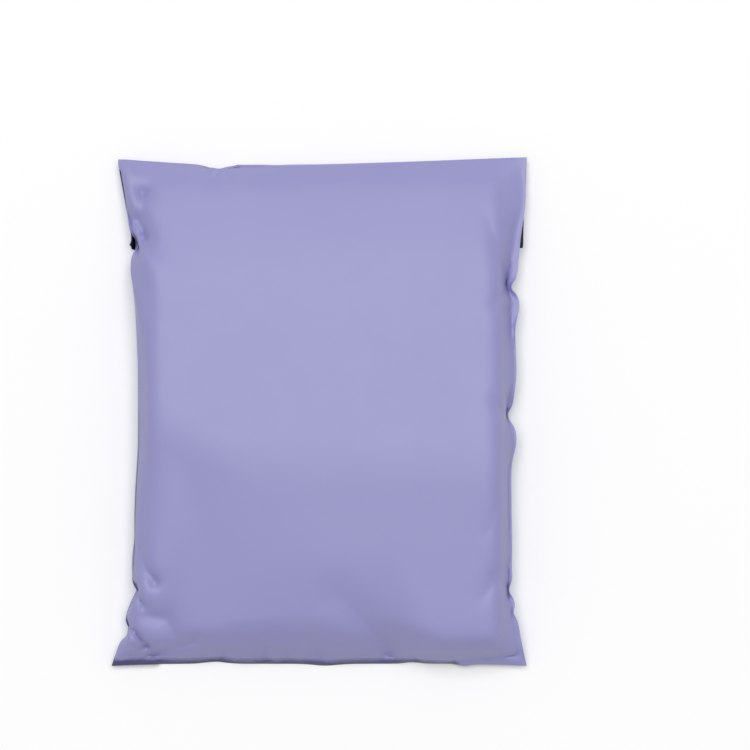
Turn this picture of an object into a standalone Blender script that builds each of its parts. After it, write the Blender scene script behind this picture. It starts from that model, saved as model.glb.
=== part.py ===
"""A poly mailer bag, sealed round soft folded goods and lying on its flap side.

The frame: +X across the bag, +Y from the bottom seam to the folded top edge, +Z up from the surface it lies on.
The origin is under the middle of the bag. The front panel is on top; the flap is folded down the back panel.
"""

import bmesh
import bpy
import numpy as np

# Driving dimensions, in metres.
FLAT_WIDTH = 0.2546          # between the side seams where they still lie flat, at the corners
LENGTH = 0.312               # bottom seam to folded top edge, with the goods inside
THICKNESS = 0.044            # over the highest part of the goods
FLAP_REACH = 0.057           # folded top edge to the flap's free edge
MOUTH_DEPTH = 0.007          # folded top edge to the bag's own mouth, where the slit behind the flap ends
FILM = 0.0008                # one panel with its seam allowance
FLAP_FILM = 0.0006
GLUE_WIDTH = 0.019
GLUE_THICK = 0.0004
GLUE_FROM_HEM = 0.012        # the flap's free edge to the glue
CLEARANCE = 0.0003           # between the glue and each film
FLANGE = 0.004               # width of the welded rim at the sides and the bottom

# The seam's height above the surface, where the goods lift it.
SEAM_AT_SIDES = 0.021
SEAM_AT_ENDS = 0.013
SEAM_AT_EARS = 0.005

HALF_LENGTH = LENGTH / 2
HALF_WIDTH = FLAT_WIDTH / 2
HEM_Y = HALF_LENGTH - FLAP_REACH
MOUTH_Y = HALF_LENGTH - MOUTH_DEPTH
GLUE_LOW_Y = HEM_Y + GLUE_FROM_HEM
GLUE_HIGH_Y = GLUE_LOW_Y + GLUE_WIDTH
SLIT = GLUE_THICK + 2 * CLEARANCE
FOLD_SWELL = 0.0004          # what the folded edge adds to one panel's thickness
HEM_STEP = 0.008             # the back panel comes down to the surface over this length past the flap
GLUE_REACH = 0.907           # the glue runs over this share of the width

# Each side seam is drawn in by the goods: waist half-width, then the power that shapes the flare to each corner.
LEFT_SIDE = {"sign": -1, "waist": 0.1105, "top_corner": 0.1230, "top_power": 2.3, "bottom_power": 6.0}
RIGHT_SIDE = {"sign": 1, "waist": 0.1180, "top_corner": HALF_WIDTH, "top_power": 1.6, "bottom_power": 5.0}

# Places where a seam is pinched inwards: position along the seam, depth and half-length of the pinch.
LEFT_PINCHES = ((0.0980, 0.0035, 0.009), (-0.1130, 0.0040, 0.009), (-0.1340, 0.0030, 0.007))
RIGHT_PINCHES = ((0.0760, 0.0040, 0.009), (-0.0030, 0.0035, 0.009), (-0.1080, 0.0030, 0.008))
TOP_TUCK = (-0.0620, 0.0035, 0.010)
TOP_SAG = 0.0045             # how far the folded edge sags between its corners

LILAC = (0.381, 0.371, 0.610, 1.0)
AMBER = (0.55, 0.52, 0.45, 1.0)


def pinch(position, centre, depth, half_length):
    """A smooth notch: depth at its centre, falling off as a bell to each side."""
    return depth * np.exp(-(((position - centre) / half_length) ** 2))


def side_seam(y, side, pinches):
    """x of a side seam: the waist, plus a power of y that grows to the corner, less the pinches."""
    share = np.clip(np.abs(y) / HALF_LENGTH, 0, 1)
    to_top = (side["top_corner"] - side["waist"]) * share ** side["top_power"]
    to_bottom = (HALF_WIDTH - side["waist"]) * share ** side["bottom_power"]
    reach = side["waist"] + np.where(y > 0, to_top, to_bottom)
    for centre, depth, half_length in pinches:
        reach = reach - pinch(y, centre, depth, half_length)
    return side["sign"] * reach


def stations():
    """The grid's lines: u across the bag from -1 to 1, y up the bag, with lines on every edge that matters."""
    rim = FLANGE / HALF_WIDTH
    half = np.concatenate((
        np.linspace(0, 0.75, 10)[:-1],
        np.linspace(0.75, GLUE_REACH, 5)[:-1],
        np.linspace(GLUE_REACH, 1 - rim, 3),
        [1.0],
    ))
    u = np.concatenate((-half[:0:-1], half))
    y = np.concatenate((
        [-HALF_LENGTH],
        np.linspace(FLANGE - HALF_LENGTH, HEM_Y - HEM_STEP, 38),
        np.linspace(HEM_Y, GLUE_LOW_Y, 3),
        np.linspace(GLUE_LOW_Y, GLUE_HIGH_Y, 4)[1:],
        np.linspace(GLUE_HIGH_Y, MOUTH_Y, 4)[1:],
        [HALF_LENGTH],
    ))
    return u, y


def plan(u, y):
    """x and y of every grid point: each row spans the two side seams, and the top rows follow the sagging fold."""
    u, y = np.meshgrid(u, y)
    left = side_seam(y, LEFT_SIDE, LEFT_PINCHES)
    right = side_seam(y, RIGHT_SIDE, RIGHT_PINCHES)
    x = left + (right - left) * (u + 1) / 2
    droop = TOP_SAG * (1 - u**2) + pinch(x, *TOP_TUCK)
    return x, y - droop * np.clip(y / HALF_LENGTH, 0, 1) ** 6


def swell(u, y, side_power, top_power, bottom_power, fullness):
    """How far the goods push a panel out, from 0 at the rim to 1 over the goods: powers of u and y, eased at 1."""
    inside = np.clip(np.abs(u) / (1 - FLANGE / HALF_WIDTH), 0, 1)
    along = np.clip(np.abs(y) / (HALF_LENGTH - FLANGE), 0, 1)
    across = (1 - inside**side_power) ** 0.6
    length = np.where(y > 0, 1 - along**top_power, 1 - along**bottom_power) ** 0.8
    full = np.clip(fullness * across * length, 0, 1)
    return full * (2 - full)


def layers():
    """Heights of the bag's skins on the grid: front panel, back panel, and both faces of the flap."""
    u_line, y_line = stations()
    x, y = plan(u_line, y_line)
    u, row_y = np.meshgrid(u_line, y_line)
    v = row_y / HALF_LENGTH
    seam = (
        SEAM_AT_EARS
        + (SEAM_AT_SIDES - SEAM_AT_EARS) * (1 - v**4)
        + (SEAM_AT_ENDS - SEAM_AT_EARS) * (1 - u**4)
    )
    under = seam * (1 - swell(u, row_y, 5, 2.6, 3.4, 1.25))
    slope_y, slope_x = np.gradient(under, y_line, u_line * HALF_WIDTH)
    steep = np.sqrt(1 + slope_x**2 + slope_y**2)
    flap_inside = under + FLAP_FILM * steep
    step = np.interp(
        row_y,
        (HEM_Y - HEM_STEP, HEM_Y, MOUTH_Y, HALF_LENGTH),
        (0, FLAP_FILM + SLIT, FLAP_FILM + SLIT, FOLD_SWELL),
    ) * steep
    back = under + step
    rim_top = seam + step + FILM
    front = rim_top + (THICKNESS - rim_top) * swell(u, row_y, 4, 2.2, 2.8, 1.0)
    return x, y, {"front": front, "back": back, "flap_outside": under, "flap_inside": flap_inside}, steep


def panel(grid):
    """Two triangles for each cell of a grid of vertex numbers, always split along the same diagonal."""
    a, b, c, d = grid[:-1, :-1], grid[:-1, 1:], grid[1:, 1:], grid[1:, :-1]
    return np.stack((np.stack((a, b, c), -1), np.stack((a, c, d), -1)), -2).reshape(-1, 3)


def edge(upper, lower):
    """A band of triangles between two lines of vertices."""
    return panel(np.stack((upper, lower)))


def new_part(name, points, triangles, colour, roughness, collection):
    """A smooth-shaded mesh object, its faces turned outwards, with its own Principled material."""
    mesh = bpy.data.meshes.new(name)
    mesh.from_pydata(points.tolist(), [], triangles.tolist())
    shell = bmesh.new()
    shell.from_mesh(mesh)
    bmesh.ops.recalc_face_normals(shell, faces=shell.faces)
    shell.to_mesh(mesh)
    shell.free()
    mesh.shade_smooth()
    mesh.set_sharp_from_angle(angle=np.radians(50))
    material = bpy.data.materials.new(name)
    material.use_nodes = True
    surface = material.node_tree.nodes["Principled BSDF"]
    surface.inputs["Base Color"].default_value = colour
    surface.inputs["Roughness"].default_value = roughness
    surface.inputs["Metallic"].default_value = 0.0
    mesh.materials.append(material)
    part = bpy.data.objects.new(name, mesh)
    collection.objects.link(part)
    return part


def mailer_bag(collection):
    """The bag and its goods as one solid: a loft whose every section runs up the front panel, over the folded
    edge, down the flap, round its free edge into the slit, and down the back panel."""
    x, y, heights, _ = layers()
    _, rows = stations()
    hem = int(np.argmin(np.abs(rows - HEM_Y)))
    mouth = int(np.argmin(np.abs(rows - MOUTH_Y)))
    spans = {
        "front": slice(0, len(rows)),
        "back": slice(0, mouth + 1),
        "flap_outside": slice(hem, len(rows)),
        "flap_inside": slice(hem, mouth + 1),
    }
    points, grids, count = [], {}, 0
    for name, span in spans.items():
        skin = np.stack((x[span], y[span], heights[name][span]), -1)
        grids[name] = count + np.arange(skin[..., 0].size).reshape(skin.shape[:2])
        points.append(skin.reshape(-1, 3))
        count += grids[name].size
    front, back = grids["front"], grids["back"]
    outside, inside = grids["flap_outside"], grids["flap_inside"]
    triangles = [
        panel(front),
        panel(back),
        panel(outside),
        panel(inside),
        edge(back[0], front[0]),
        edge(front[-1], outside[-1]),
        edge(outside[0], inside[0]),
        edge(back[-1], inside[-1]),
    ]
    for column in (0, -1):
        triangles.append(edge(front[: mouth + 1, column], back[:, column]))
        triangles.append(edge(inside[:, column], outside[:-1, column]))
        around = [grid[-1, column] for grid in (back, inside, outside, front)]
        around.insert(2, outside[-2, column])
        around.append(front[mouth, column])
        triangles.append(np.array([(around[0], *around[k : k + 2]) for k in range(1, 5)]))
    return new_part("mailer_bag", np.concatenate(points), np.concatenate(triangles), LILAC, 0.42, collection)


def glue_strip(collection):
    """The band of hot-melt between the flap and the back panel, following the flap's inner face."""
    x, y, heights, steep = layers()
    u_line, rows = stations()
    low = int(np.argmin(np.abs(rows - GLUE_LOW_Y)))
    high = int(np.argmin(np.abs(rows - GLUE_HIGH_Y)))
    left = int(np.argmin(np.abs(u_line + GLUE_REACH)))
    right = int(np.argmin(np.abs(u_line - GLUE_REACH)))
    patch = (slice(low, high + 1), slice(left, right + 1))
    under = heights["flap_inside"][patch] + CLEARANCE * steep[patch]
    over = under + GLUE_THICK * steep[patch]
    points = np.concatenate([np.stack((x[patch], y[patch], z), -1).reshape(-1, 3) for z in (under, over)])
    bottom = np.arange(under.size).reshape(under.shape)
    top = bottom + under.size
    triangles = np.concatenate((
        panel(top),
        panel(bottom),
        edge(bottom[0], top[0]),
        edge(bottom[-1], top[-1]),
        edge(bottom[:, 0], top[:, 0]),
        edge(bottom[:, -1], top[:, -1]),
    ))
    return new_part("glue_strip", points, triangles, AMBER, 0.35, collection)


for leftover in list(bpy.data.objects):
    bpy.data.objects.remove(leftover)
parts = bpy.data.collections.new("poly_mailer_bag")
bpy.context.scene.collection.children.link(parts)
mailer_bag(parts)
glue_strip(parts)
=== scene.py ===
"""A sealed poly mailer bag round soft folded goods, lying on its flap side under soft studio light."""

import bpy
import numpy as np
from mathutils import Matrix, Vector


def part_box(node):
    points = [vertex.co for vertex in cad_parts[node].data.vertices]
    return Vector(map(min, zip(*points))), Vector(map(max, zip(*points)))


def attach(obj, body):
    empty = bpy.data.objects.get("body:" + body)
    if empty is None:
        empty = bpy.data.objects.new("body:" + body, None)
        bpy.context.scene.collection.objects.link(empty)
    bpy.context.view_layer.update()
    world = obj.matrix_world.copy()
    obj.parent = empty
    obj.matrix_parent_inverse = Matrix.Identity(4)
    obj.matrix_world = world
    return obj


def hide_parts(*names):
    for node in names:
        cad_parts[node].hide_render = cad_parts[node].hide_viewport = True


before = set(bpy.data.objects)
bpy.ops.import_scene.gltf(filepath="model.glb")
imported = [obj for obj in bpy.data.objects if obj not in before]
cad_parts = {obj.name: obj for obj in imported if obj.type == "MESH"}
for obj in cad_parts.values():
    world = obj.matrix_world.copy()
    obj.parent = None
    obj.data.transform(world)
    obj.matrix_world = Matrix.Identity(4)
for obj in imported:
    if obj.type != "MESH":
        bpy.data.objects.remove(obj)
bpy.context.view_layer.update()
low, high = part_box("mailer_bag")
HALF_WIDTH = (high.x - low.x) / 2
HALF_LENGTH = (high.y - low.y) / 2
THICKNESS = high.z


# ---- The film bag -------------------------------------------------------------------------------------------
# Two panels of 60 micron polyethylene, lilac outside and black inside, welded along both sides and the bottom.
# The front panel runs on past the mouth as the flap, which is folded over the top edge and glued down the back.
# The bag is relaxed as a film: its flat cut is drawn over the goods, and its seams follow their pinched outline.

FLAT_WIDTH = 0.2520             # between the side welds, lying flat
CLOSED_LENGTH = 0.3220          # bottom weld to the flap's fold, lying flat
FLAP_REACH = 0.0565             # the fold to the flap's free edge
MOUTH_DEPTH = 0.0070            # the fold to the mouth, whose edge is turned in with the flap
FILM = 0.00022                  # thickness of one panel
FLAP_GAP = 0.00045              # the flap's film stands this far off the back panel, on its glue
FLAP_FLOOR = 0.0009             # room under the back panel for the flap and its glue

# Each side seam: waist half-width, half-width at the top corner, and the powers that flare it to the corners.
# A pinch is its place along the seam, its depth and its half-length; a negative depth bulges out.
LEFT_SEAM = {"sign": -1, "waist": 0.1102, "corner": 0.1232, "top_power": 2.5, "bottom_power": 3.5}
LEFT_PINCHES = (
    (0.1028, 0.0046, 0.0050),
    (0.0850, -0.0018, 0.0100),
    (-0.0600, -0.0014, 0.0250),
    (-0.1126, 0.0058, 0.0058),
    (-0.1345, 0.0046, 0.0045),
)
RIGHT_SEAM = {"sign": 1, "waist": 0.1175, "corner": HALF_WIDTH, "top_power": 1.46, "bottom_power": 4.0}
RIGHT_PINCHES = (
    (0.1280, -0.0016, 0.0180),
    (0.0762, 0.0040, 0.0046),
    (0.0650, -0.0026, 0.0085),
    (0.0230, -0.0026, 0.0210),
    (-0.0024, 0.0032, 0.0050),
    (-0.0165, -0.0034, 0.0105),
    (-0.0960, 0.0009, 0.0120),
    (-0.1090, 0.0034, 0.0052),
    (-0.1226, 0.0024, 0.0038),
)
TOP_TUCK = (-0.0618, 0.0038, 0.0075)
BOTTOM_WAVES = ((-0.064, 0.0012, 0.009), (0.004, -0.0012, 0.010), (0.057, 0.0009, 0.006), (0.089, -0.0010, 0.005))


def bell(place, centre, reach):
    """exp of minus the square of (place - centre) / reach: 1 at the centre, near 0 two reaches away."""
    return np.exp(-(((place - centre) / reach) ** 2))


def seam_x(y, seam, pinches):
    """x of a side seam: the waist, plus a power of y growing to the corner, less a bell for each pinch."""
    share = np.clip(np.abs(y) / HALF_LENGTH, 0, 1)
    top = (seam["corner"] - seam["waist"]) * share ** seam["top_power"]
    bottom = (HALF_WIDTH - seam["waist"]) * share ** seam["bottom_power"]
    reach = seam["waist"] + np.where(y > 0, top, bottom)
    for centre, depth, half in pinches:
        reach = reach - depth * bell(y, centre, half)
    return seam["sign"] * reach


def fold_y(x):
    """y of the folded edge: lowest left of the middle, rising as a power of x to each corner, less the tuck."""
    lowest = -0.048
    right = 0.0058 * (np.clip(x - lowest, 0, 1) / 0.1753) ** 1.7
    left = 0.0044 * (np.clip(lowest - x, 0, 1) / 0.0752) ** 1.6
    centre, depth, half = TOP_TUCK
    return 0.1504 + right + left - depth * bell(x, centre, half)


def bottom_y(x):
    """y of the bottom weld: straight between the ears, a little higher between them, with a bell for each wave."""
    y = 0.0012 * (1 - np.clip(np.abs(x) / HALF_WIDTH, 0, 1) ** 8) - HALF_LENGTH
    for centre, height, half in BOTTOM_WAVES:
        y = y + height * bell(x, centre, half)
    return y


def spaced(x, y, count):
    """count + 1 points at equal arc lengths along the curve through (x, y)."""
    run = np.concatenate(([0], np.cumsum(np.hypot(np.diff(x), np.diff(y)))))
    shares = np.linspace(0, run[-1], count + 1)
    return np.stack((np.interp(shares, run, x), np.interp(shares, run, y)), -1)


def outline(rows, columns):
    """The closed bag's four edges as grid lines: left and right upwards, bottom and fold rightwards."""
    fine = np.linspace(0, 1, 4001)
    edges = {}
    for name, seam, pinches in (("left", LEFT_SEAM, LEFT_PINCHES), ("right", RIGHT_SEAM, RIGHT_PINCHES)):
        start = bottom_y(seam["sign"] * HALF_WIDTH)
        end = fold_y(seam["sign"] * seam["corner"])
        y = start + (end - start) * fine
        edges[name] = spaced(seam_x(y, seam, pinches), y, rows)
    x = HALF_WIDTH * (2 * fine - 1)
    edges["bottom"] = spaced(x, bottom_y(x), columns)
    x = -LEFT_SEAM["corner"] + (LEFT_SEAM["corner"] + RIGHT_SEAM["corner"]) * fine
    edges["fold"] = spaced(x, fold_y(x), columns)
    return edges


# The goods: a soft folded stack. Its roof is the lowest of six slopes that run across the bag, highest at the knee
# below the middle, and of a facet that falls away at the lower left. Each slope is a y, its height and its angle.
GOODS_X = (-0.1080, 0.1150)
GOODS_Y = (-0.1500, 0.1500)
SLOPES = (
    (0.148, 0.0140, -18.0),
    (0.105, 0.0287, -11.0),
    (0.090, 0.0330, -5.4),
    (-0.031, 0.0444, 5.0),
    (-0.105, 0.0370, 14.0),
    (-0.130, 0.0302, 37.0),
)
KNEE = 2                                    # the slope above the knee
SQUARE_CORNER = (0.045, 0.030, 0.034, 0.015)    # from this x, over this width, the last two slopes lie further down
FACET_LINE = ((-0.1065, 0.0055), (-0.0636, -0.0170))
FACET_FALL = 0.26
HOLLOW_LINE = ((0.012, -0.112), (0.048, -0.146))


def soft_min(a, b, reach):
    """The lower of two heights, rounded over where they come within reach of each other."""
    share = np.clip(0.5 + 0.5 * (b - a) / reach, 0, 1)
    return b * (1 - share) + a * share - reach * share * (1 - share)


def goods_outline(x, y, x_power, y_power):
    """1 in the middle of the goods and 0 at their edge: one less a power of x and a power of y, from the centre."""
    across = np.abs(x - sum(GOODS_X) / 2) / (GOODS_X[1] - GOODS_X[0]) * 2
    along = np.abs(y - sum(GOODS_Y) / 2) / (GOODS_Y[1] - GOODS_Y[0]) * 2
    return np.clip(1 - np.clip(across, 0, 1) ** x_power - np.clip(along, 0, 1) ** y_power, 0, 1)


def goods_top(x, y):
    """Height of the goods: the rounded lowest of their slopes and the facet, less a hollow, with rounded sides."""
    start, width, *reaches = SQUARE_CORNER
    share = np.clip((x - start) / width, 0, 1)
    slopes = [
        height + np.tan(np.radians(angle)) * (y - centre + share * reach)
        for (centre, height, angle), reach in zip(SLOPES, [0] * (KNEE + 2) + reaches)
    ]
    (ax, ay), (bx, by) = FACET_LINE
    above = ((y - ay) * (bx - ax) - (x - ax) * (by - ay)) / np.hypot(bx - ax, by - ay)
    roof = slopes[KNEE] + FACET_FALL * (above + 0.004)
    for slope in slopes:
        roof = soft_min(roof, slope, 0.003)
    (ax, ay), (bx, by) = HOLLOW_LINE
    share = np.clip(((x - ax) * (bx - ax) + (y - ay) * (by - ay)) / ((bx - ax) ** 2 + (by - ay) ** 2), 0, 1)
    away = np.hypot(x - ax - share * (bx - ax), y - ay - share * (by - ay))
    roof = roof - 0.0022 * bell(away, 0, 0.010)
    return roof * np.sqrt(goods_outline(x, y, 34, 30))


def goods_under(x, y):
    """Height of the goods' underside: flat on the surface, curling up to mid height at their edge."""
    top = goods_top(x, y)
    return np.where(top > 0, 0.45 * top * (1 - goods_outline(x, y, 14, 12)) ** 2, 1.0)


def even_lengths(a, b, rest, stretch, squeeze):
    """Moves pairs of points to their rest distance: all of any stretch, and what squeeze exceeds the slack."""
    apart = b - a
    length = np.sqrt((apart * apart).sum(-1)) + 1e-9
    strain = (length - rest) / length
    share = np.where(strain > 0, stretch * strain, squeeze * np.minimum(strain + SLACK, 0))
    apart *= (0.5 * share)[..., None]
    a += apart
    b -= apart


STRETCH, SQUEEZE, SHEAR = 0.95, 0.5, 0.5     # how much of each error one pass takes away
SLACK = 0.004                                # the film may shorten this share before it buckles
BENDING = 0.02
MOMENTUM = 0.9
SEAM_HOLD = 0.3
SIDE_WELD = 0.0018
BOTTOM_WELD = 0.0045
FOLD_HEIGHT, FOLD_SWAY = 0.0058, 0.0012
BOTTOM_HEIGHT = 0.0040
RIGHT_FLANGES = ((0.092, 0.0030, 0.014), (0.064, 0.0032, 0.009), (0.003, 0.0025, 0.006))


def second_difference(film):
    """The sum of each point's neighbours along both grid lines, less as many times the point."""
    bent = np.zeros_like(film)
    bent[:, :, 1:-1] += film[:, :, 2:] + film[:, :, :-2] - 2 * film[:, :, 1:-1]
    bent[:, 1:-1] += film[:, 2:] + film[:, :-2] - 2 * film[:, 1:-1]
    return bent


def flange(rows, columns):
    """Where the two panels lie together: along the fold, within the bottom weld and within the side welds, which
    the right seam's bells widen into a flat flange."""
    across = FLAT_WIDTH * np.linspace(0, 1, columns + 1)[None, :]
    up = CLOSED_LENGTH * np.linspace(0, 1, rows + 1)[:, None]
    right = SIDE_WELD + 0 * up
    for centre, width, half in RIGHT_FLANGES:
        right = right + width * bell(up - CLOSED_LENGTH / 2, centre, half)
    least = 0.6 * FLAT_WIDTH / columns
    welded = (across < least) | (FLAT_WIDTH - across < np.maximum(right, least))
    return welded | (up < BOTTOM_WELD) | (up < least) | (CLOSED_LENGTH - up < least)


def relax(film, passes, swell, weight, floor):
    """Settles the film: momentum, then lengths along, across and diagonally, bending, the goods' push, the
    welds, the seams' outline and the floor, pass after pass. swell grows the goods from its first value to 1."""
    rows, columns = film.shape[1] - 1, film.shape[2] - 1
    across, along = FLAT_WIDTH / columns, CLOSED_LENGTH / rows
    slant = np.hypot(across, along)
    edges = outline(rows, columns)
    welded = flange(rows, columns)
    fold_height = FOLD_HEIGHT + FOLD_SWAY * np.sin(edges["fold"][:, 0] * 38 + 0.8)
    before = film.copy()
    for step in range(passes):
        grown = min(1, swell + (1 - swell) * step / (0.6 * passes))
        film, before = film + MOMENTUM * (film - before), film
        film[..., 2] -= weight
        for parity in (0, 1):
            lower = film[:, :, parity:-1:2]
            even_lengths(lower, film[:, :, parity + 1 :: 2][:, :, : lower.shape[2]], across, STRETCH, SQUEEZE)
            lower = film[:, parity:-1:2]
            upper = film[:, parity + 1 :: 2][:, : lower.shape[1]]
            even_lengths(lower, upper, along, STRETCH, SQUEEZE)
            for a, b in ((lower[:, :, :-1], upper[:, :, 1:]), (lower[:, :, 1:], upper[:, :, :-1])):
                even_lengths(a, b, slant, SHEAR * STRETCH, SHEAR * SQUEEZE)
        film -= BENDING * second_difference(second_difference(film))
        front, back = film
        front[..., 2] = np.maximum(front[..., 2], grown * goods_top(front[..., 0], front[..., 1]))
        back[..., 2] = np.minimum(back[..., 2], goods_under(back[..., 0], back[..., 1]))
        crossed = front[..., 2] < back[..., 2]
        front[crossed, 2] = back[crossed, 2] = (front[crossed, 2] + back[crossed, 2]) / 2
        film[:, welded] = film[:, welded].mean(0)
        for name, line in (("left", film[:, :, 0]), ("right", film[:, :, -1]), ("bottom", film[:, 0]), ("fold", film[:, -1])):
            line[..., :2] += SEAM_HOLD * (edges[name] - line[..., :2])
        film[:, -1, :, 2] += SEAM_HOLD * (fold_height - film[:, -1, :, 2])
        film[:, 0, :, 2] += SEAM_HOLD / 3 * (BOTTOM_HEIGHT - film[:, 0, :, 2])
        film[..., 2] = np.maximum(film[..., 2], floor(rows)[:, None])
    return film


def rest_floor(rows):
    """How high each grid row lies at least: on the surface, or on the flap and its glue where that lies under it."""
    from_fold = CLOSED_LENGTH * (1 - np.linspace(0, 1, rows + 1))
    return FLAP_FLOOR * np.clip((FLAP_REACH + 0.008 - from_fold) / 0.008, 0, 1)


def doubled(film, axis):
    """Twice the grid lines along an axis: each new point is the middle of two, pushed out by their curvature."""
    film = np.moveaxis(film, axis, 0)
    bend = np.zeros_like(film)
    bend[1:-1] = film[2:] + film[:-2] - 2 * film[1:-1]
    fine = np.empty((2 * film.shape[0] - 1,) + film.shape[1:])
    fine[::2] = film
    fine[1::2] = (film[:-1] + film[1:]) / 2 - (bend[:-1] + bend[1:]) / 16
    return np.moveaxis(fine, 0, axis)


def flat_start(rows, columns):
    """Both panels flat at seam height, spread between the four edges as a Coons patch."""
    edges = outline(rows, columns)
    u = np.linspace(0, 1, columns + 1)[None, :, None]
    v = np.linspace(0, 1, rows + 1)[:, None, None]
    left, right = edges["left"][:, None], edges["right"][:, None]
    bottom, fold = edges["bottom"][None], edges["fold"][None]
    corners = (1 - u) * ((1 - v) * left[0] + v * left[-1]) + u * ((1 - v) * right[0] + v * right[-1])
    plan = (1 - u) * left + u * right + (1 - v) * bottom + v * fold - corners
    sheet = np.dstack((plan, np.full(plan.shape[:2], 0.012)))
    return np.stack((sheet, sheet))


film = relax(flat_start(25, 25), 500, 0.05, 2e-6, rest_floor)
for passes, weight in ((300, 1e-6), (300, 5e-7), (220, 2.5e-7)):
    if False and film.shape[1] > 100:
        break
    film = relax(doubled(doubled(film, 1), 2), passes, 1, weight, rest_floor)


# Creases in the front panel. Each runs through the points of its path, is so wide to each side, and has a depth
# at its start and at its end; a depth below 0 stands up as a ridge.
CREASES = (
    # the upper left corner: a band from the ear, a deep dent and the edge fold below it
    (((-0.1180, 0.1450), (-0.1080, 0.1340)), 0.0042, 0.0003, 0.0034),
    (((-0.1080, 0.1340), (-0.1075, 0.1200)), 0.0050, 0.0036, 0.0030),
    (((-0.1105, 0.1165), (-0.1075, 0.1110), (-0.1070, 0.1070)), 0.0056, 0.0080, 0.0110),
    (((-0.1060, 0.1010), (-0.0930, 0.0930)), 0.0056, 0.0036, 0.0006),
    # along the folded edge
    (((-0.0950, 0.1452), (-0.0620, 0.1425), (-0.0200, 0.1440)), 0.0040, 0.0006, 0.0010),
    (((-0.0618, 0.1470), (-0.0670, 0.1385)), 0.0028, 0.0020, 0.0004),
    # the upper right facet and the right seam's three notches
    (((0.1030, 0.1190), (0.1090, 0.1000), (0.1150, 0.0830)), 0.0054, 0.0009, 0.0042),
    (((0.1205, 0.0715), (0.1160, 0.0785)), 0.0020, 0.0050, 0.0044),
    (((0.1160, 0.0785), (0.1085, 0.0660)), 0.0044, 0.0040, 0.0022),
    (((0.1200, -0.0080), (0.1165, -0.0035), (0.1120, 0.0010)), 0.0020, 0.0046, 0.0016),
    (((0.1125, 0.0000), (0.1070, 0.0070)), 0.0040, 0.0036, 0.0016),
    (((0.1180, -0.1120), (0.1155, -0.1070), (0.1110, -0.1035)), 0.0024, 0.0060, 0.0030),
    (((0.1130, -0.0980), (0.1075, -0.1005), (0.1005, -0.1120)), 0.0052, 0.0034, 0.0010),
    (((0.1110, -0.0400), (0.1090, -0.0540), (0.1028, -0.0720)), 0.0044, 0.0010, 0.0008),
    # the lower right corner: the line above the flat weld
    (((0.0890, -0.1528), (0.1047, -0.1505), (0.1230, -0.1495)), 0.0013, 0.0014, 0.0030),
    # the lower left corner: a wedge down the side, the notch, the turned-over ear and the slopes beside them
    (((-0.1085, -0.0830), (-0.1055, -0.0950), (-0.0995, -0.1035)), 0.0036, 0.0030, 0.0050),
    (((-0.1120, -0.1060), (-0.1095, -0.1125), (-0.1070, -0.1185)), 0.0019, 0.0060, 0.0030),
    (((-0.1185, -0.1285), (-0.1125, -0.1345), (-0.1055, -0.1435)), 0.0021, 0.0060, 0.0044),
    (((-0.1055, -0.1437), (-0.1095, -0.1455), (-0.1140, -0.1425)), 0.0020, 0.0034, 0.0014),
    (((-0.1040, -0.1240), (-0.0925, -0.1265), (-0.0890, -0.1350)), 0.0066, 0.0036, 0.0036),
    (((-0.1030, -0.1508), (-0.0880, -0.1440), (-0.0760, -0.1400)), 0.0044, 0.0036, 0.0040),
    # scallops above the bottom weld
    (((-0.0590, -0.1470), (-0.0560, -0.1540)), 0.0040, 0.0030, 0.0040),
    (((-0.0350, -0.1440), (-0.0330, -0.1540)), 0.0044, 0.0030, 0.0044),
    (((-0.0200, -0.1480), (-0.0190, -0.1540)), 0.0034, 0.0024, 0.0040),
    (((-0.0050, -0.1420), (0.0010, -0.1530)), 0.0054, 0.0026, 0.0040),
    (((0.0395, -0.1400), (0.0430, -0.1530)), 0.0048, 0.0026, 0.0040),
    (((0.0590, -0.1500), (0.0630, -0.1545)), 0.0020, 0.0024, 0.0036),
    # the long soft fold that comes down from the middle to the bottom weld
    (((0.0130, -0.1130), (0.0270, -0.1270), (0.0430, -0.1440), (0.0480, -0.1540)), 0.0076, 0.0010, 0.0024),
)
WELD_TURN = 0.0050              # the bottom weld is turned down over this much film
WELD_DROP = 0.0060
TURNED = (-0.1000, 0.0870)      # between these, while right of them it lies flat


def crease(x, y, path, half, start, end):
    """Depth of a crease: start to end along its path, times exp of minus (distance / half-width) to the 1.4."""
    points = np.array(path)
    run = np.concatenate(([0], np.cumsum(np.hypot(*np.diff(points, axis=0).T))))
    nearest, share = np.full(x.shape, np.inf), np.zeros(x.shape)
    for (ax, ay), (bx, by), begin, finish_at in zip(points[:-1], points[1:], run[:-1], run[1:]):
        along = np.clip(((x - ax) * (bx - ax) + (y - ay) * (by - ay)) / (finish_at - begin) ** 2, 0, 1)
        away = np.hypot(x - ax - along * (bx - ax), y - ay - along * (by - ay))
        share = np.where(away < nearest, (begin + along * (finish_at - begin)) / run[-1], share)
        nearest = np.minimum(nearest, away)
    return (start + (end - start) * share) * np.exp(-((nearest / half) ** 1.4))


def upward(sheet):
    """Unit normals of a grid of points: the cross product of its two grid directions."""
    normal = np.cross(np.gradient(sheet, axis=1), np.gradient(sheet, axis=0))
    return normal / (np.linalg.norm(normal, axis=-1, keepdims=True) + 1e-12)


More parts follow.
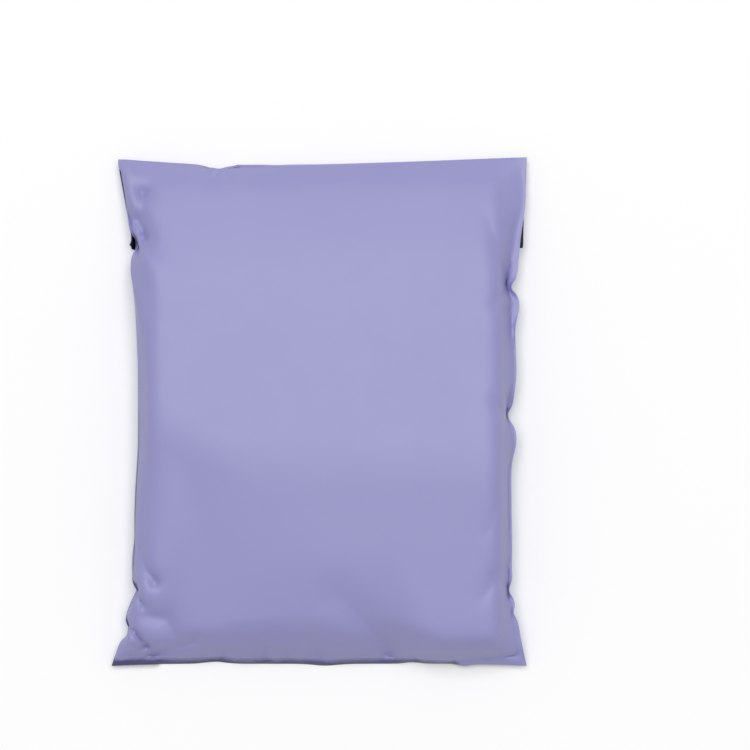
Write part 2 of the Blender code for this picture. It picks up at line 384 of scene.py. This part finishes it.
def creased(film):
    """The front panel pressed in along its creases, no deeper than most of the room under it, and both panels
    turned down at the bottom weld."""
    front, back = film
    depth = sum(crease(front[..., 0], front[..., 1], *one) for one in CREASES)
    front[..., 2] -= np.minimum(depth, 0.85 * (front[..., 2] - back[..., 2]))
    from_weld = CLOSED_LENGTH * np.linspace(0, 1, film.shape[1])[None, :, None]
    x = film[:, :1, :, 0]
    turned = np.clip((x - TURNED[0]) / 0.004, 0, 1) * np.clip((TURNED[1] - x) / 0.008, 0, 1)
    film[..., 2] -= WELD_DROP * turned * np.clip(1 - from_weld / WELD_TURN, 0, 1)
    edge = film[:, :1, :, 1]
    film[..., 1] = edge + (film[..., 1] - edge) * (1 - 0.65 * turned * bell(from_weld, 0, WELD_TURN))
    film[..., 2] = np.maximum(film[..., 2], rest_floor(film.shape[1] - 1)[:, None])
    return film


film = creased(film)

# The settled film becomes four skins on the same grid: front, back, and the flap's outer and inner faces. They
# meet at the fold, the flap's free edge, the bag's mouth behind it and the welded rims.
ROWS, COLUMNS = film.shape[1] - 1, film.shape[2] - 1
ROW_STEP = CLOSED_LENGTH / ROWS
HEM = ROWS - round(FLAP_REACH / ROW_STEP)
MOUTH = ROWS - round(MOUTH_DEPTH / ROW_STEP)
FLAP_FILM = 0.00014
WHITE_BAND = 0.0335                     # unprinted film below the mouth, which the glue sticks to
GLUE_FROM_HEM = 0.012
GLUE_WIDTH = 0.019
HEM_CORNERS = {"left": (-0.1124, 0.0985), "right": (0.1243, 0.0998)}   # where the flap's free corners stick out
CORNER_BLEND = 0.016
HEM_CURL = 0.0006
CORNER_CURL = 0.0022

from_left = FLAT_WIDTH * np.linspace(0, 1, COLUMNS + 1)[None, :]
from_right = FLAT_WIDTH - from_left
from_bottom = CLOSED_LENGTH * np.linspace(0, 1, ROWS + 1)[:, None]
from_fold = CLOSED_LENGTH - from_bottom


def flap_faces(back, down):
    """The flap's inner and outer faces: the back panel moved out by the glue's gap, its side edges drawn to
    straight lines from the fold's corners to the free corners, and its free edge and corners curled away."""
    past_glue = np.clip(1 - (FLAP_REACH - from_fold) / GLUE_FROM_HEM, 0, 1)[HEM:]
    inner = back[HEM:] + down[HEM:] * (FILM / 2 + FLAP_GAP)
    curl = HEM_CURL * (1 + 0.6 * np.sin(from_left * 61) * np.cos(from_left * 23))
    for name, column, edge in (("left", 0, from_left), ("right", -1, from_right)):
        corner_x, corner_y = HEM_CORNERS[name]
        fold_x, fold_height = back[-1, column, :2]
        line = corner_x + (fold_x - corner_x) * (back[HEM:, column, 1] - corner_y) / (fold_height - corner_y)
        near = np.clip(1 - edge / CORNER_BLEND, 0, 1) ** 2
        inner[..., 0] += near * (line - back[HEM:, column, 0])[:, None]
        curl = curl + CORNER_CURL * near
    inner += down[HEM:] * (curl * past_glue**2)[..., None]
    inner[..., 2] = np.maximum(inner[..., 2], FLAP_FILM)
    outer = inner - upward(inner) * FLAP_FILM
    outer[..., 2] = np.maximum(outer[..., 2], 0)
    return inner, outer


def cells(grid):
    """The quads between the lines of a grid of vertex numbers."""
    return np.stack((grid[:-1, :-1], grid[:-1, 1:], grid[1:, 1:], grid[1:, :-1]), -1).reshape(-1, 4)


def band(one, other):
    """The quads between two lines of vertex numbers."""
    return cells(np.stack((one, other)))


front_sheet, back_sheet = film
back_down = -upward(back_sheet)
front_skin = front_sheet + upward(front_sheet) * FILM / 2
back_skin = back_sheet + back_down * FILM / 2
flap_inner, flap_outer = flap_faces(back_sheet, back_down)
skins = {"front": front_skin, "back": back_skin[: MOUTH + 1], "inner": flap_inner[: MOUTH + 1 - HEM], "outer": flap_outer}
grids, placed = {}, 0
for name, skin in skins.items():
    grids[name] = placed + np.arange(skin[..., 0].size).reshape(skin.shape[:2])
    placed += grids[name].size
front, back, inner, outer = (grids[name] for name in ("front", "back", "inner", "outer"))
LILAC, BLACK, WHITE = range(3)
white_row = MOUTH - round(WHITE_BAND / ROW_STEP)
faces = [
    (cells(front), LILAC),
    (cells(back[: white_row + 1, ::-1]), LILAC),
    (cells(back[white_row:, ::-1]), WHITE),
    (cells(inner), BLACK),
    (cells(outer[:, ::-1]), LILAC),
    (band(back[0], front[0]), LILAC),
    (band(front[-1], outer[-1]), LILAC),
    (band(outer[0], inner[0]), LILAC),
    (band(inner[-1], back[-1]), BLACK),
]
for side, turn in ((0, 1), (-1, -1)):
    behind = outer[MOUTH - HEM :, side]
    faces += [
        (band(front[: MOUTH + 1, side], back[:, side])[:, ::turn], LILAC),
        (band(inner[:, side], outer[: MOUTH + 1 - HEM, side])[:, ::turn], LILAC),
        (band(front[MOUTH:, side], behind)[:, ::turn], LILAC),
        (np.array([(front[MOUTH, side], back[-1, side], inner[-1, side], behind[0])])[:, ::-turn], LILAC),
    ]


def new_mesh(name, points, quads, slots=None):
    """A smooth-shaded mesh object from an array of points and one of quads, with a material slot for each quad."""
    mesh = bpy.data.meshes.new(name)
    mesh.vertices.add(len(points))
    mesh.vertices.foreach_set("co", np.asarray(points, np.float32).ravel())
    mesh.loops.add(quads.size)
    mesh.loops.foreach_set("vertex_index", quads.astype(np.int32).ravel())
    mesh.polygons.add(len(quads))
    mesh.polygons.foreach_set("loop_start", np.arange(0, quads.size, 4, dtype=np.int32))
    if slots is not None:
        mesh.polygons.foreach_set("material_index", slots.astype(np.int32))
    mesh.update(calc_edges=True)
    mesh.validate()
    mesh.shade_smooth()
    piece = bpy.data.objects.new(name, mesh)
    bpy.context.scene.collection.objects.link(piece)
    return piece


points = np.concatenate([skin.reshape(-1, 3) for skin in skins.values()])
quads = np.concatenate([made for made, _ in faces])
slots = np.concatenate([np.full(len(made), slot) for made, slot in faces])
bag = new_mesh("film_bag", points, quads, slots)
bag.data.set_sharp_from_angle(angle=np.radians(60))

# What the finish follows, in the flat cut: the distances to the nearer side weld and to the bottom weld's edge, and
# the dark band of painted shade along the bottom weld, where it is turned under, and a dark line along part of the
# left weld.
BOTTOM_SHADE_WIDTH = 0.0062
LEFT_LINE_WIDTH = 0.0026
to_side = np.minimum(from_left, from_right) + 0 * from_bottom
to_bottom = from_bottom + 0 * from_left
spans = {"front": np.s_[:], "back": np.s_[: MOUTH + 1], "inner": np.s_[HEM : MOUTH + 1], "outer": np.s_[HEM:]}
weld_edge_shade = np.clip(1 - from_bottom / BOTTOM_SHADE_WIDTH, 0, 1) * np.clip((TURNED[1] - film[0][..., 0]) / 0.004, 0, 1)
left_edge_line = np.clip(1 - from_left / LEFT_LINE_WIDTH, 0, 1) * bell(film[0][..., 1], -0.055, 0.050)
for name, distance in (("to_side", to_side), ("to_bottom", to_bottom), ("weld_edge_shade", np.maximum(weld_edge_shade, left_edge_line))):
    values = np.concatenate([distance[span].ravel() for span in spans.values()])
    bag.data.attributes.new(name, "FLOAT", "POINT").data.foreach_set("value", values.astype(np.float32))


class Wire:
    """A shader socket. Arithmetic on it adds Math nodes, and node() adds any other."""

    def __init__(self, tree, socket=None):
        self.tree = tree
        self.socket = socket

    def node(self, kind, settings=None, values=None, output=0):
        """A new node: its settings first, or a ramp's stops, then its sockets' values or links."""
        made = self.tree.nodes.new("ShaderNode" + kind)
        for name, value in (settings or {}).items():
            if name == "stops":
                for stop, (place, colour) in zip(made.color_ramp.elements, value):
                    stop.position, stop.color = place, colour
            else:
                setattr(made, name, value)
        for name, value in (values or {}).items():
            if isinstance(value, Wire):
                self.tree.links.new(value.socket, made.inputs[name])
            else:
                made.inputs[name].default_value = value
        return Wire(self.tree, made.outputs[output])

    def math(self, operation, *values, clamp=False):
        return self.node("Math", {"operation": operation, "use_clamp": clamp}, dict(enumerate(values)))

    def __add__(self, other):
        return self.math("ADD", self, other)

    def __sub__(self, other):
        return self.math("SUBTRACT", self, other)

    def __rsub__(self, other):
        return self.math("SUBTRACT", other, self)

    def __mul__(self, other):
        return self.math("MULTIPLY", self, other)

    def __truediv__(self, other):
        return self.math("DIVIDE", self, other)

    __radd__ = __add__
    __rmul__ = __mul__

    def near(self, reach):
        """1 where the value is 0, falling in a straight line to 0 where it is reach."""
        return self.math("SUBTRACT", 1, self / reach, clamp=True)


def finish(name, colour, roughness, **sockets):
    """A Principled material: its constants are set on its own sockets. Returns it with a Wire on its tree."""
    material = bpy.data.materials.new(name)
    material.use_nodes = True
    tree = material.node_tree
    surface = tree.nodes["Principled BSDF"]
    surface.inputs["Base Color"].default_value = (*colour, 1)
    surface.inputs["Roughness"].default_value = roughness
    for socket, value in sockets.items():
        surface.inputs[socket.replace("_", " ")].default_value = value
    return material, Wire(tree), surface


def link(wire, surface, socket):
    wire.tree.links.new(wire.socket, surface.inputs[socket])


def place(wire):
    return wire.node("TexCoord", output="Object")


def noise(wire, scale, detail=2.0, roughness=0.5, stretch=None):
    """Noise on Object coordinates, scale waves to a metre."""
    where = place(wire)
    if stretch:
        where = wire.node("Mapping", values={"Vector": where, "Scale": stretch})
    return wire.node("TexNoise", values={"Vector": where, "Scale": scale, "Detail": detail, "Roughness": roughness})


def lilac_film():
    """Satin pigmented film: faintly cloudy in colour, paler along the side welds (partly the stressed film, partly a
    painted highlight), with painted shade along the bottom weld and a dark line down part of the left one, and a
    fine pebble and a crinkle.
    """
    deep, pale = (0.274, 0.266, 0.515, 1), (0.298, 0.290, 0.540, 1)
    material, wire, surface = finish("lilac_film", deep[:3], 0.47, Specular_IOR_Level=0.45)
    # Paler near the side welds: partly the stressed film's own paler tone, partly a painted highlight along the
    # welded edge.
    weld_pale_and_highlight = wire.node("Attribute", {"attribute_name": "to_side"}, output="Fac").near(0.0032)
    cloud = noise(wire, 18, 3)
    share = (cloud * 0.8).math("ADD", cloud * 0.8, weld_pale_and_highlight * 0.9, clamp=True)
    colour = wire.node("Mix", {"data_type": "RGBA"}, {"Factor": share, "A": deep, "B": pale}, output=2)
    # Painted shade: near-black navy mixed in along the turned-under bottom weld, and a dark line along part of the
    # left weld.
    painted_edge_shade = wire.node("Attribute", {"attribute_name": "weld_edge_shade"}, output="Fac") * (noise(wire, 160, 2) * 1.6 + 0.9)
    through = {"Factor": painted_edge_shade.math("MINIMUM", painted_edge_shade, 0.85), "A": colour, "B": (0.040, 0.030, 0.110, 1)}
    link(wire.node("Mix", {"data_type": "RGBA"}, through, output=2), surface, "Base Color")
    link(noise(wire, 55, 3) * 0.08 + 0.43, surface, "Roughness")
    pebble = noise(wire, 900, 2) * 0.00002
    crinkle = noise(wire, 90, 4, 0.55) * 0.00016
    bump = wire.node("Bump", values={"Height": pebble + crinkle, "Distance": 1.0, "Strength": 0.6})
    link(bump, surface, "Normal")
    return material


def black_film():
    """The film's black inner side, a little glossier."""
    material, wire, surface = finish("black_inner_film", (0.012, 0.012, 0.014), 0.36)
    link(noise(wire, 60, 3) * 0.12 + 0.30, surface, "Roughness")
    bump = wire.node("Bump", values={"Height": noise(wire, 120, 4) * 0.0003, "Distance": 1.0, "Strength": 0.6})
    link(bump, surface, "Normal")
    return material


def white_film():
    """Unprinted white film, with faint clouds."""
    material, wire, surface = finish("white_film_band", (0.80, 0.80, 0.80), 0.42)
    colour = {"Factor": noise(wire, 30, 2), "A": (0.78, 0.78, 0.79, 1), "B": (0.84, 0.84, 0.84, 1)}
    link(wire.node("Mix", {"data_type": "RGBA"}, colour, output=2), surface, "Base Color")
    return material


for material in (lilac_film(), black_film(), white_film()):
    bag.data.materials.append(material)
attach(bag, "root")
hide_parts("mailer_bag")


# ---- The glue strip -----------------------------------------------------------------------------------------
# A band of amber hot-melt adhesive coated along the inside of the flap. It sticks the flap to the white band on
# the back panel; its release liner was peeled off when the bag was closed.

GLUE_THICK = 0.0003
GLUE_MARGIN = 0.012             # bare film at both ends of the strip

low_row = ROWS - round((FLAP_REACH - GLUE_FROM_HEM) / ROW_STEP)
high_row = low_row + round(GLUE_WIDTH / ROW_STEP)
margin = round(GLUE_MARGIN / (FLAT_WIDTH / COLUMNS))
patch = np.s_[low_row : high_row + 1, margin : COLUMNS + 1 - margin]
against_back = back_sheet[patch] + back_down[patch] * (FILM / 2 + (FLAP_GAP - GLUE_THICK) / 2)
against_flap = against_back + back_down[patch] * GLUE_THICK
over = np.arange(against_back[..., 0].size).reshape(against_back.shape[:2])
under = over + over.size
glue_quads = np.concatenate((
    cells(over),
    cells(under[:, ::-1]),
    band(under[0], over[0]),
    band(over[-1], under[-1]),
    band(over[:, 0], under[:, 0]),
    band(under[:, -1], over[:, -1]),
))
glue = new_mesh("hot_melt_strip", np.concatenate((against_back.reshape(-1, 3), against_flap.reshape(-1, 3))), glue_quads)
glue.data.set_sharp_from_angle(angle=np.radians(60))


def hot_melt():
    """Tacky amber adhesive: glossy, unevenly coated along the strip."""
    material, wire, surface = finish("hot_melt", (0.55, 0.50, 0.40), 0.30)
    streaks = noise(wire, 40, 3, stretch=(0.3, 3, 1))
    colour = {"Factor": streaks, "A": (0.50, 0.45, 0.34, 1), "B": (0.62, 0.58, 0.48, 1)}
    link(wire.node("Mix", {"data_type": "RGBA"}, colour, output=2), surface, "Base Color")
    link(streaks * 0.2 + 0.2, surface, "Roughness")
    return material


glue.data.materials.append(hot_melt())
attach(glue, "root")
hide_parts("glue_strip")


# ---- The studio ---------------------------------------------------------------------------------------------
# A white sweep under a broad soft light from above the folded edge, in a white room.

FLOOR_SIZE = 12.0
KEY_SIZE, KEY_HEIGHT, KEY_BACK, KEY_WATTS = 7.0, 8.0, 2.3, 562.0
ROOM_LIGHT = 0.425
VIEW_WIDTH = 0.459              # what the camera takes in across the height of the seams
VIEW_CENTRE = (0.0343, 0.0226)
CAMERA_HEIGHT = 2.6
SENSOR = 36.0

floor_points = np.array([(-1, -1, 0), (1, -1, 0), (1, 1, 0), (-1, 1, 0)]) * FLOOR_SIZE / 2 + (0, 0, -0.0002)
sweep = new_mesh("studio_floor", floor_points, np.arange(4).reshape(1, 4))
paper, _, _ = finish("studio_white", (0.93, 0.93, 0.93), 0.9, Specular_IOR_Level=0.0)
sweep.data.materials.append(paper)


def soft_light(name, size, watts, position, target=(0, 0, 0)):
    """A square area light turned to face its target."""
    lamp = bpy.data.lights.new(name, "AREA")
    lamp.size, lamp.energy = size, watts
    holder = bpy.data.objects.new(name, lamp)
    holder.location = position
    away = np.subtract(position, target)
    flat = float(np.hypot(away[0], away[1]))
    holder.rotation_euler = (float(np.arctan2(flat, away[2])), 0, float(np.arctan2(away[0], -away[1])))
    bpy.context.scene.collection.objects.link(holder)


soft_light("key_light", KEY_SIZE, KEY_WATTS, (0.0, KEY_BACK, KEY_HEIGHT))

room = bpy.data.worlds.new("white_room")
room.use_nodes = True
room.node_tree.nodes["Background"].inputs["Color"].default_value = (1, 1, 1, 1)
room.node_tree.nodes["Background"].inputs["Strength"].default_value = ROOM_LIGHT
bpy.context.scene.world = room

lens = bpy.data.cameras.new("camera")
lens.sensor_width = SENSOR
lens.lens = SENSOR * (CAMERA_HEIGHT - THICKNESS / 4) / VIEW_WIDTH
camera = bpy.data.objects.new("camera", lens)
camera.location = (*VIEW_CENTRE, CAMERA_HEIGHT)
bpy.context.scene.collection.objects.link(camera)
bpy.context.scene.camera = camera
bpy.context.scene.view_settings.view_transform = "Standard"
